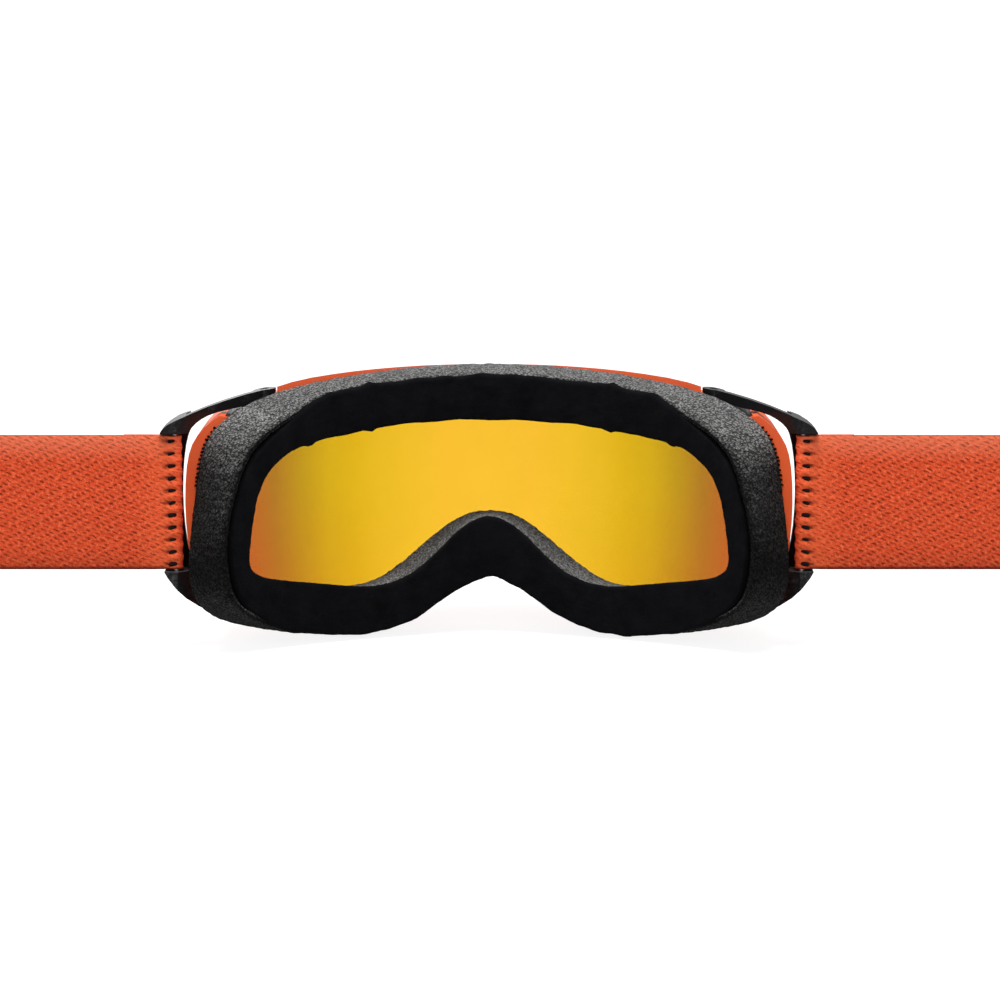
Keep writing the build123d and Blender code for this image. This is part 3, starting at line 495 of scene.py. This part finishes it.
M_FOAM = mat_foam("foam_grey", (0.065, 0.065, 0.0655), (0.33, 0.325, 0.315), (1.0, 1.0, 0.97))
M_VENT = mat_foam("vent_foam", (0.010, 0.010, 0.010), (0.045, 0.045, 0.045), (0.14, 0.14, 0.14))
M_FLEECE = mat_fleece()
M_WEB = mat_webbing()
M_TPU = mat_tpu()
M_BLACK = mat_plastic("plastic_black", (0.0035, 0.0035, 0.004), (0.008, 0.008, 0.009), 0.26, 0.18)
# the arms get a stronger painted highlight on their up-facing faces (0.062)
M_ARM = mat_plastic("arm_black", (0.0035, 0.0035, 0.004), (0.008, 0.008, 0.009), 0.26, 0.18, 0.062)
M_SPACER = mat_plastic("spacer_black", (0.010, 0.010, 0.010), (0.022, 0.022, 0.022), 0.75, 0.5)
M_STEEL = mat_steel()
M_THREAD = mat_thread()
M_INNER = mat_inner_lens()
M_OUTER = mat_outer_lens()


# ---------------------------------------------------------------- carried-over CAD nodes
def dress(node, material, bevel=0.0, segs=2, angle=38, edge_split=True):
    o = NODES[node]
    me = o.data
    me.materials.clear()
    me.materials.append(material)
    me.polygons.foreach_set("material_index", [0] * len(me.polygons))
    me.polygons.foreach_set("use_smooth", [True] * len(me.polygons))
    if "custom_normal" in me.attributes:
        me.attributes.remove(me.attributes["custom_normal"])
    w = o.modifiers.new("weld", "WELD")
    w.merge_threshold = 2e-6
    if bevel:
        b = o.modifiers.new("bevel", "BEVEL")
        b.width = bevel * MM
        b.segments = segs
        b.limit_method = "ANGLE"
        b.angle_limit = math.radians(angle)
        b.use_clamp_overlap = True
        b.harden_normals = True
    elif edge_split:
        e = o.modifiers.new("split", "EDGE_SPLIT")
        e.split_angle = math.radians(30)
    return o


dress("frame_shell", M_TPU, 0.0)
dress("inner_lens", M_INNER)
dress("outer_lens", M_OUTER)
dress("lens_spacer", M_SPACER)
for s in ("left", "right"):
    dress(f"outrigger_{s}", M_ARM, 0.45, 3, 35)
    dress(f"pivot_pins_{s}", M_STEEL)
    dress(f"strap_bar_{s}", M_STEEL)
    dress(f"adjuster_{s}", M_BLACK, 0.35, 3, 35)
dress("clip_male", M_BLACK, 0.4, 3, 35)
dress("clip_female", M_BLACK, 0.5, 3, 35)


# ---------------------------------------------------------------- cushion
MULT = 12
co, ci = stations(CO, A_CO, MULT), stations(CI, A_CI, MULT)
bo, bi = stations(BO, A_BO, MULT), stations(BI, A_BI, MULT)
NS = len(co)
# the facing's inner edge is hand trimmed along the brow: slightly wavy, with a few nicks
wave = np.array([noise.noise(Vector((p[0] * 0.11, p[1] * 0.11, 3.0))) for p in ci])
brow = np.clip((ci[:, 1] - 8) / 6, 0, 1)
ci_f = ci.copy()
ci_f[:, 1] += wave * 0.55 * brow
for xn, dz in ((52.6, 0.9), (34.8, 0.8), (-35.6, 0.8), (-53.8, 0.9)):
    ci_f[:, 1] -= dz * brow * np.exp(-((ci[:, 0] - xn) / 1.1) ** 2)


edge = np.clip((np.abs(co[:, 0]) - 47.0) / 22.0, 0, 1)
edge = 0.30 * edge * edge * (3 - 2 * edge) * np.clip((co[:, 1] + 40.0) / 14.0, 0, 1)
trim = np.array([noise.noise(Vector((p[0] * 0.16, p[1] * 0.16, 8.0))) for p in co]) * 0.05
for xn in (34.7, 46.5, -36.0, -48.0):
    trim -= 0.06 * np.exp(-((co[:, 0] - xn) / 1.3) ** 2) * (co[:, 1] > 10)


def ring_point(u, v, inner):
    """Point on the cushion: u from outer wall (0) to inner wall (1), v from the face (0) to the base (1)."""
    o = co + (bo - co) * v
    i = inner + (bi - inner) * v
    p = o + (i - o) * u
    r = FACE_R + FOAM_T * (v[:, 0] if np.ndim(v) else v)
    return np.c_[p[:, 0], arc_y(p[:, 0], r, FACE_CY), p[:, 1]]


def ring_mesh(loop, inner, bulge=0.0, rise=None, shift=None):
    pts = []
    for u, v in loop:
        if rise is not None and u < 0.14 and v < F0 + 0.02:
            v = v * (1 - 0.86 * rise)
        if shift is not None:
            u = u + (1 - u) * shift
        uu, vv = (np.asarray(k, float).reshape(-1, 1) if np.ndim(k) else k for k in (u, v))
        p = ring_point(uu, vv, inner)
        if bulge and np.ndim(v) == 0 and u < 0.5:
            q = ring_point(u - 0.02, v, inner)
            d = q - p
            d /= np.linalg.norm(d, axis=1)[:, None]
            p = p + d * bulge * math.sin(math.pi * min(max(v, 0), 1)) * (1 - 2 * u)
        pts.append(p)
    return np.stack(pts, 1)


def jitter(p, amp, freq, seed, octaves=2):
    flat = p.reshape(-1, 3)
    off = np.empty_like(flat)
    for k, q in enumerate(flat):
        a = noise.turbulence_vector(Vector((q[0] * freq + seed, q[1] * freq, q[2] * freq)), octaves, False, noise_basis="PERLIN_ORIGINAL")
        off[k] = a
    return (flat + off * amp).reshape(p.shape)


F0 = FACING_T / FOAM_T
n_wall = 20
vw = np.linspace(F0 + 0.05, 0.985, n_wall)
foam_loop = [(0.125, F0 + 0.004), (0.05, F0 + 0.004), (0.01, F0 + 0.012)] + [(0.0, v) for v in vw] + [(0.02, 0.998)] + [(u, 0.998) for u in (0.2, 0.4, 0.6, 0.8)] + [(0.98, 0.998)]
foam_loop += [(1.0, v) for v in vw[::-1]] + [(0.98, F0 + 0.012)] + [(u, F0 + 0.004) for u in (0.88, 0.75, 0.6, 0.45, 0.3, 0.18)]
RISE = np.clip(edge / 0.12, 0, 1)
foam = ring_mesh(foam_loop, ci, 0.55, rise=RISE)
foam = jitter(foam, 0.26, 0.9, 5.0, 3)
face_foam = make_object("cushion_foam", foam.reshape(-1, 3), torus_faces(NS, len(foam_loop)), M_FOAM, "frame", replaces=("face_foam",))

us = np.linspace(0.03, 0.97, 26)
crown = [-0.022 * math.sin(math.pi * u) ** 0.6 for u in us]
fl_loop = [(-0.012, F0 * 0.98), (-0.016, F0 * 0.6), (0.002, F0 * 0.12)] + list(zip(us, crown)) + [(0.998, F0 * 0.12), (1.012, F0 * 0.55), (1.008, F0 * 1.0)]
fl_loop += [(u, F0 * 0.985) for u in (0.8, 0.6, 0.4, 0.2)]
fleece = ring_mesh(fl_loop, ci_f, shift=edge + trim * np.clip(1 - edge / 0.3, 0, 1))
# shallow creases across the facing where it is stretched round the foam
xz = fleece[:, :, [0, 2]]
crease = np.zeros(fleece.shape[:2])
for xn, w, dpt, up in ((52.6, 0.8, 0.5, 1), (32.6, 0.7, 0.45, 1), (-35.6, 0.7, 0.45, 1), (-53.8, 0.8, 0.5, 1), (-20.0, 0.6, 0.22, -1), (28.0, 0.7, 0.25, -1), (-38.0, 0.7, 0.3, -1), (44.0, 0.6, 0.25, -1), (-60.0, 0.6, 0.25, -1)):
    m = (np.sign(xz[:, :, 1] + 3) == up)
    crease += m * dpt * np.exp(-((xz[:, :, 0] - xn) / w) ** 2)
top_side = np.array([1.0 if v < F0 * 0.5 else 0.0 for _, v in fl_loop])[None, :]
fleece[:, :, 1] -= crease * top_side
fleece = jitter(fleece, 0.10, 0.55, 9.0, 3)
facing = make_object("cushion_facing", fleece.reshape(-1, 3), torus_faces(NS, len(fl_loop)), M_FLEECE, "frame", replaces=("foam_facing",))


# ---------------------------------------------------------------- vent foams
def foam_copy(node, name):
    src = NODES[node]
    me = src.data.copy()
    me.name = name
    me.materials.clear()
    me.materials.append(M_VENT)
    o = bpy.data.objects.new(name, me)
    bpy.context.scene.collection.objects.link(o)
    w = o.modifiers.new("weld", "WELD")
    w.merge_threshold = 2e-6
    r = o.modifiers.new("remesh", "REMESH")
    r.mode = "VOXEL"
    r.voxel_size = 0.0008
    dg = bpy.context.evaluated_depsgraph_get()
    done = bpy.data.meshes.new_from_object(o.evaluated_get(dg))
    o.modifiers.clear()
    o.data = done
    co_ = np.empty(len(done.vertices) * 3)
    done.vertices.foreach_get("co", co_)
    p = co_.reshape(-1, 3)
    p[:] = jitter(p / MM, 0.16, 1.1, 2.0, 2) * MM
    done.vertices.foreach_set("co", p.ravel())
    done.polygons.foreach_set("use_smooth", [True] * len(done.polygons))
    done.materials.clear()
    done.materials.append(M_VENT)
    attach(o, "frame")
    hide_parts(node)
    return o


foam_copy("vent_foam_top", "brow_vent_foam")
foam_copy("vent_foam_bottom_left", "cheek_vent_foam_left")
foam_copy("vent_foam_bottom_right", "cheek_vent_foam_right")


# ---------------------------------------------------------------- webbing
def ribbon(path, width, thick, cross=56):
    """Closed strip along a plan path of (x, y) points: returns rings of points round its cross-section."""
    p = np.array(path, float)
    d = np.gradient(p, axis=0)
    d /= np.linalg.norm(d, axis=1)[:, None]
    nrm = np.c_[-d[:, 1], d[:, 0]]
    h = width / 2
    zc = np.linspace(-h + 0.5, h - 0.5, cross)
    ring = [(z, 1.0) for z in zc] + [(h - 0.12, 0.75), (h, 0.0), (h - 0.12, -0.75)] + [(z, -1.0) for z in zc[::-1]] + [(-h + 0.12, -0.75), (-h, 0.0), (-h + 0.12, 0.75)]
    out = np.empty((len(p), len(ring), 3))
    for k, (z, side) in enumerate(ring):
        out[:, k, 0] = p[:, 0] + nrm[:, 0] * side * thick / 2
        out[:, k, 1] = p[:, 1] + nrm[:, 1] * side * thick / 2
        out[:, k, 2] = z
    return out


def arc_pts(cx, cy, r, a0, a1, n):
    t = np.radians(np.linspace(a0, a1, n))
    return [(cx + r * math.cos(a), cy + r * math.sin(a)) for a in t]


def line_pts(a, b, step):
    n = max(2, int(math.hypot(b[0] - a[0], b[1] - a[1]) / step) + 1)
    return [(a[0] + (b[0] - a[0]) * k / (n - 1), a[1] + (b[1] - a[1]) * k / (n - 1)) for k in range(n)]


def dedupe(p):
    out = [p[0]]
    for q in p[1:]:
        if math.hypot(q[0] - out[-1][0], q[1] - out[-1][1]) > 0.05:
            out.append(q)
    return out


def capsule(a, b, r, squash=1.0, n=10, m=8):
    """Rounded rod from a to b; squash flattens it along y."""
    a, b = np.array(a, float), np.array(b, float)
    d = (b - a) / np.linalg.norm(b - a)
    up = np.array([0, 1.0, 0])
    w = np.cross(d, up)
    w /= np.linalg.norm(w)
    up = np.cross(w, d)
    rings = []
    for k in range(m + 1):
        t = -math.pi / 2 + math.pi * k / m
        c = (a if t < 0 else b) + d * r * math.sin(t)
        rr = max(r * math.cos(t), 0.02)
        rings.append([c + (w * math.cos(x) + up * squash * math.sin(x)) * rr for x in np.linspace(0, 2 * math.pi, n, endpoint=False)])
    return np.array(rings).reshape(-1, 3), tube_faces(m + 1, n)


def merge(parts):
    vs, fs, k = [], [], 0
    for v, f in parts:
        vs.append(v)
        fs += [tuple(int(i) + k for i in q) for q in f]
        k += len(v)
    return np.vstack(vs), fs


STITCH_X = 92.9
STITCH_Z = [i * 3.66 for i in range(-5, 6)]
STEP = 0.55


def strap(side, sx):
    t = 1.12
    lap_y, run_y = BAR_Y - WEB_T / 2, BAR_Y + WEB_T / 2
    r = BAR_R + FIT + WEB_T / 2
    path = line_pts((107.0, lap_y), (96.4, lap_y), STEP) + line_pts((96.4, lap_y), (93.2, BAR_Y - r + 0.05), 0.4)
    path += arc_pts(BAR_X, BAR_Y, r, -80, -280, 22)
    path += line_pts((93.2, BAR_Y + r - 0.05), (96.4, run_y), 0.4) + line_pts((96.4, run_y), (CLIP_BAR_X, run_y), STEP)
    rc = CLIP_BAR_R + FIT + WEB_T / 2
    path += arc_pts(CLIP_BAR_X, CLIP_BAR_Y, rc, 90, -88, 20)
    path = dedupe(path)
    p = np.array(path)
    for _ in range(3):
        q = p.copy()
        q[1:-1] = (p[:-2] + 2 * p[1:-1] + p[2:]) / 4
        keep = (np.abs(p[:, 0] - 96) < 4) | (np.abs(p[:, 0] - CLIP_BAR_X) < 1.5)
        p[keep] = q[keep]
    v = ribbon(p, STRAP_W, t)
    # thread pulls the webbing down in a row of dimples, with yarn standing up between them
    rear = v[:, :, 1] > BAR_Y
    x, z = v[:, :, 0], v[:, :, 2]
    g = np.exp(-((x - STITCH_X) / 1.35) ** 2)
    ph = np.cos(2 * np.pi * z / 3.66)
    pull = g * (np.clip(ph, 0, 1) ** 1.5 * 0.62 - np.clip(-ph, 0, 1) * 0.24)
    v[:, :, 1] -= np.where(rear, pull, -pull)
    v[:, :, 0] += 0.16 * np.cos(2 * np.pi * z / 3.66) * np.clip((92.5 - x) / 2, 0, 1)
    # the edges are drawn in slightly at the seam, and the long run is never dead flat
    v[:, :, 2] *= 1 - 0.012 * np.exp(-((x - STITCH_X) / 3.0) ** 2)
    sway = 0.10 * np.sin(x * 0.11 + 0.5) * np.cos(z * 0.07)
    v[:, :, 1] += sway * np.clip((x - 100) / 12, 0, 1) * np.clip((CLIP_BAR_X - 8 - x) / 12, 0, 1) * (np.abs(x - ADJ_X) > 60)
    v[:, :, 0] *= sx
    ob = make_object(f"webbing_{side}", v.reshape(-1, 3), tube_faces(len(v), v.shape[1]), M_WEB, f"strap_{side}", replaces=(f"strap_{side}",))
    parts = []
    y = BAR_Y + 1.50
    for k, zz in enumerate(STITCH_Z):
        tilt = 0.26 if k % 2 else 0.14
        ln = 0.66 + 0.08 * math.sin(k * 2.3)
        for yy in (y, 2 * BAR_Y - y):
            parts.append(capsule((sx * (STITCH_X - ln), yy, zz + tilt), (sx * (STITCH_X + ln), yy, zz - tilt), 0.60 + 0.12 * math.cos(k * 1.7), 0.62))
    vs, fs = merge(parts)
    make_object(f"bar_tacks_{side}", vs, fs, M_THREAD, f"strap_{side}", replaces=(f"strap_stitches_{side}",))
    return ob


def strap_return(side, sx):
    yc = RETURN_Y
    r = 0.9 + FIT + WEB_T / 2
    path = line_pts((ADJ_X + 16.0, yc - WEB_T / 2), (ADJ_X + 4.6, yc - WEB_T / 2), STEP) + line_pts((ADJ_X + 4.6, yc - WEB_T / 2), (ADJ_X + 1.0, yc - r + 0.1), 0.5)
    path += arc_pts(ADJ_X, yc, r, -80, -280, 20)
    path += line_pts((ADJ_X + 1.0, yc + r - 0.1), (ADJ_X + 4.6, yc + WEB_T / 2), 0.5) + line_pts((ADJ_X + 4.6, yc + WEB_T / 2), (ADJ_X + 15.0, yc + WEB_T / 2), STEP)
    path += line_pts((ADJ_X + 15.6, yc + WEB_T / 2 - 0.02), (ADJ_X + 19.0, yc), 0.5) + line_pts((ADJ_X + 19.0, yc), (CLIP_BAR_X + 0.2, yc), STEP)
    path = dedupe(path)
    p = np.array(path)
    for _ in range(4):
        q = p.copy()
        q[1:-1] = (p[:-2] + 2 * p[1:-1] + p[2:]) / 4
        keep = p[:, 0] < ADJ_X + 22
        keep[:2] = False
        p[keep] = q[keep]
    v = ribbon(p, STRAP_W, 1.12)
    v[:, :, 0] *= sx
    ob = make_object(f"return_webbing_{side}", v.reshape(-1, 3), tube_faces(len(v), v.shape[1]), M_WEB, None)
    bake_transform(ob)
    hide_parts(f"strap_return_{side}")
    parts = []
    for k, zz in enumerate(STITCH_Z):
        for yy in (yc + WEB_T + 0.02, yc - WEB_T - 0.02):
            parts.append(capsule((sx * (ADJ_X + 6.6), yy, zz - 0.1), (sx * (ADJ_X + 7.8), yy, zz + 0.1), 0.45, 0.6))
    vs, fs = merge(parts)
    make_object(f"return_tacks_{side}", vs, fs, M_THREAD, f"adjuster_{side}", replaces=(f"return_stitches_{side}",))


for side, sx in (("left", 1), ("right", -1)):
    strap(side, sx)
    strap_return(side, sx)


# ---------------------------------------------------------------- bead of the bonded seam between cushion and frame, at the sides
def seam_bead(side, sx):
    s = np.r_[0, np.cumsum(np.hypot(*np.diff(bo, axis=0).T))]
    parts = []
    for d in np.cumsum(RNG.uniform(1.0, 1.55, 400)):
        x, z = np.interp(d, s, bo[:, 0]), np.interp(d, s, bo[:, 1])
        if d > s[-1] or x < 79.5 or z < 5.5 or z > 22.5:
            continue
        k = int(np.argmin(np.hypot(bo[:, 0] - x, bo[:, 1] - z)))
        a, b = bo[(k + 2) % NS], bo[k - 2]
        tz = (a - b) / np.linalg.norm(a - b)
        nx, nz = -tz[1], tz[0]
        if nx * x < 0:
            nx, nz = -nx, -nz
        r = FACE_R + FOAM_T - 0.25
        def at(e):
            xx, zz = x + nx * e, z + nz * e
            return (sx * xx, float(arc_y(xx, r, FACE_CY)), zz)
        parts.append(capsule(at(-0.6), at(RNG.uniform(0.05, 0.35)), RNG.uniform(0.26, 0.42), 0.8, 8, 6))
    vs, fs = merge(parts)
    make_object(f"seam_bead_{side}", vs, fs, M_FLEECE, "frame")


seam_bead("left", 1)
seam_bead("right", -1)

# ---------------------------------------------------------------- floor, light and camera
low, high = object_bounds()


def floor():
    m = Mat("studio_floor")
    v = m.coords(scale=(6, 6, 6))
    n = m.noise(v, 1.0, 2)
    col = m.ramp(n, [(0.3, (0.27, 0.27, 0.27)), (0.7, (0.28, 0.28, 0.28))])
    seen = m.add("ShaderNodeLightPath").outputs["Is Camera Ray"]
    glow = m.math("ADD", 0.18, m.math("MULTIPLY", seen, 0.70))
    mat = m.done(m.principled(Base_Color=col, Roughness=0.9, Specular_IOR_Level=0.1, Emission_Color=(1.0, 1.0, 1.0), Emission_Strength=glow))
    me = bpy.data.meshes.new("studio_floor")
    z0 = low.z - 0.001
    prof = [(2.2, z0), (-1.6, z0)] + [(-1.6 - 0.9 * math.sin(a), z0 + 0.9 - 0.9 * math.cos(a)) for a in np.linspace(0.05, math.pi / 2, 14)] + [(-2.5, z0 + 3.0)]
    vs = [(x, y, z) for y, z in prof for x in (-3.5, 3.5)]
    fs = [(2 * k, 2 * k + 1, 2 * k + 3, 2 * k + 2) for k in range(len(prof) - 1)]
    me.from_pydata(vs, [], fs)
    me.materials.append(mat)
    me.polygons.foreach_set("use_smooth", [True] * len(me.polygons))
    o = bpy.data.objects.new("studio_floor", me)
    bpy.context.scene.collection.objects.link(o)


floor()

world = bpy.data.worlds.new("studio")
bpy.context.scene.world = world
world.use_nodes = True
wt = world.node_tree
bg = wt.nodes["Background"]
bg.inputs["Color"].default_value = (1, 1, 1, 1)
lp = wt.nodes.new("ShaderNodeLightPath")
st = wt.nodes.new("ShaderNodeMapRange")
st.inputs["To Min"].default_value = 0.36
st.inputs["To Max"].default_value = 1.0
wt.links.new(lp.outputs["Is Camera Ray"], st.inputs["Value"])
wt.links.new(st.outputs["Result"], bg.inputs["Strength"])


def area(name, loc, target, size, power):
    l = bpy.data.lights.new(name, "AREA")
    l.shape = "RECTANGLE"
    l.size, l.size_y = size
    l.energy = power
    o = bpy.data.objects.new(name, l)
    o.location = loc
    d = Vector(target) - Vector(loc)
    o.rotation_euler = d.to_track_quat("-Z", "Y").to_euler()
    bpy.context.scene.collection.objects.link(o)


area("key_top", (0.1, 0.30, 1.25), (0, 0, 0), (0.9, 0.5), 26)
area("key_back", (-0.2, 1.4, 0.55), (0, 0, 0), (1.2, 0.7), 6.0)
area("fill_front", (0.5, -1.5, 0.6), (0, 0, 0), (1.0, 0.6), 5)

EPS = math.radians(9.0)
DIST = 1.100
target = (np.array([-3.23, 20.0, 0.44]) + SH) * MM
fwd = np.array([0, -math.cos(EPS), -math.sin(EPS)])
cam = bpy.data.cameras.new("camera")
cam.sensor_fit = "HORIZONTAL"
cam.sensor_width = 36.0
cam.lens = 36.0 * DIST / 0.294
cam.clip_start = 0.01
cam_o = bpy.data.objects.new("camera", cam)
cam_o.location = Vector(target - fwd * DIST)
cam_o.rotation_euler = Vector(fwd).to_track_quat("-Z", "Y").to_euler()
bpy.context.scene.collection.objects.link(cam_o)
bpy.context.scene.camera = cam_o
bpy.context.scene.view_settings.view_transform = "Standard"
bpy.context.scene.view_settings.look = "None"
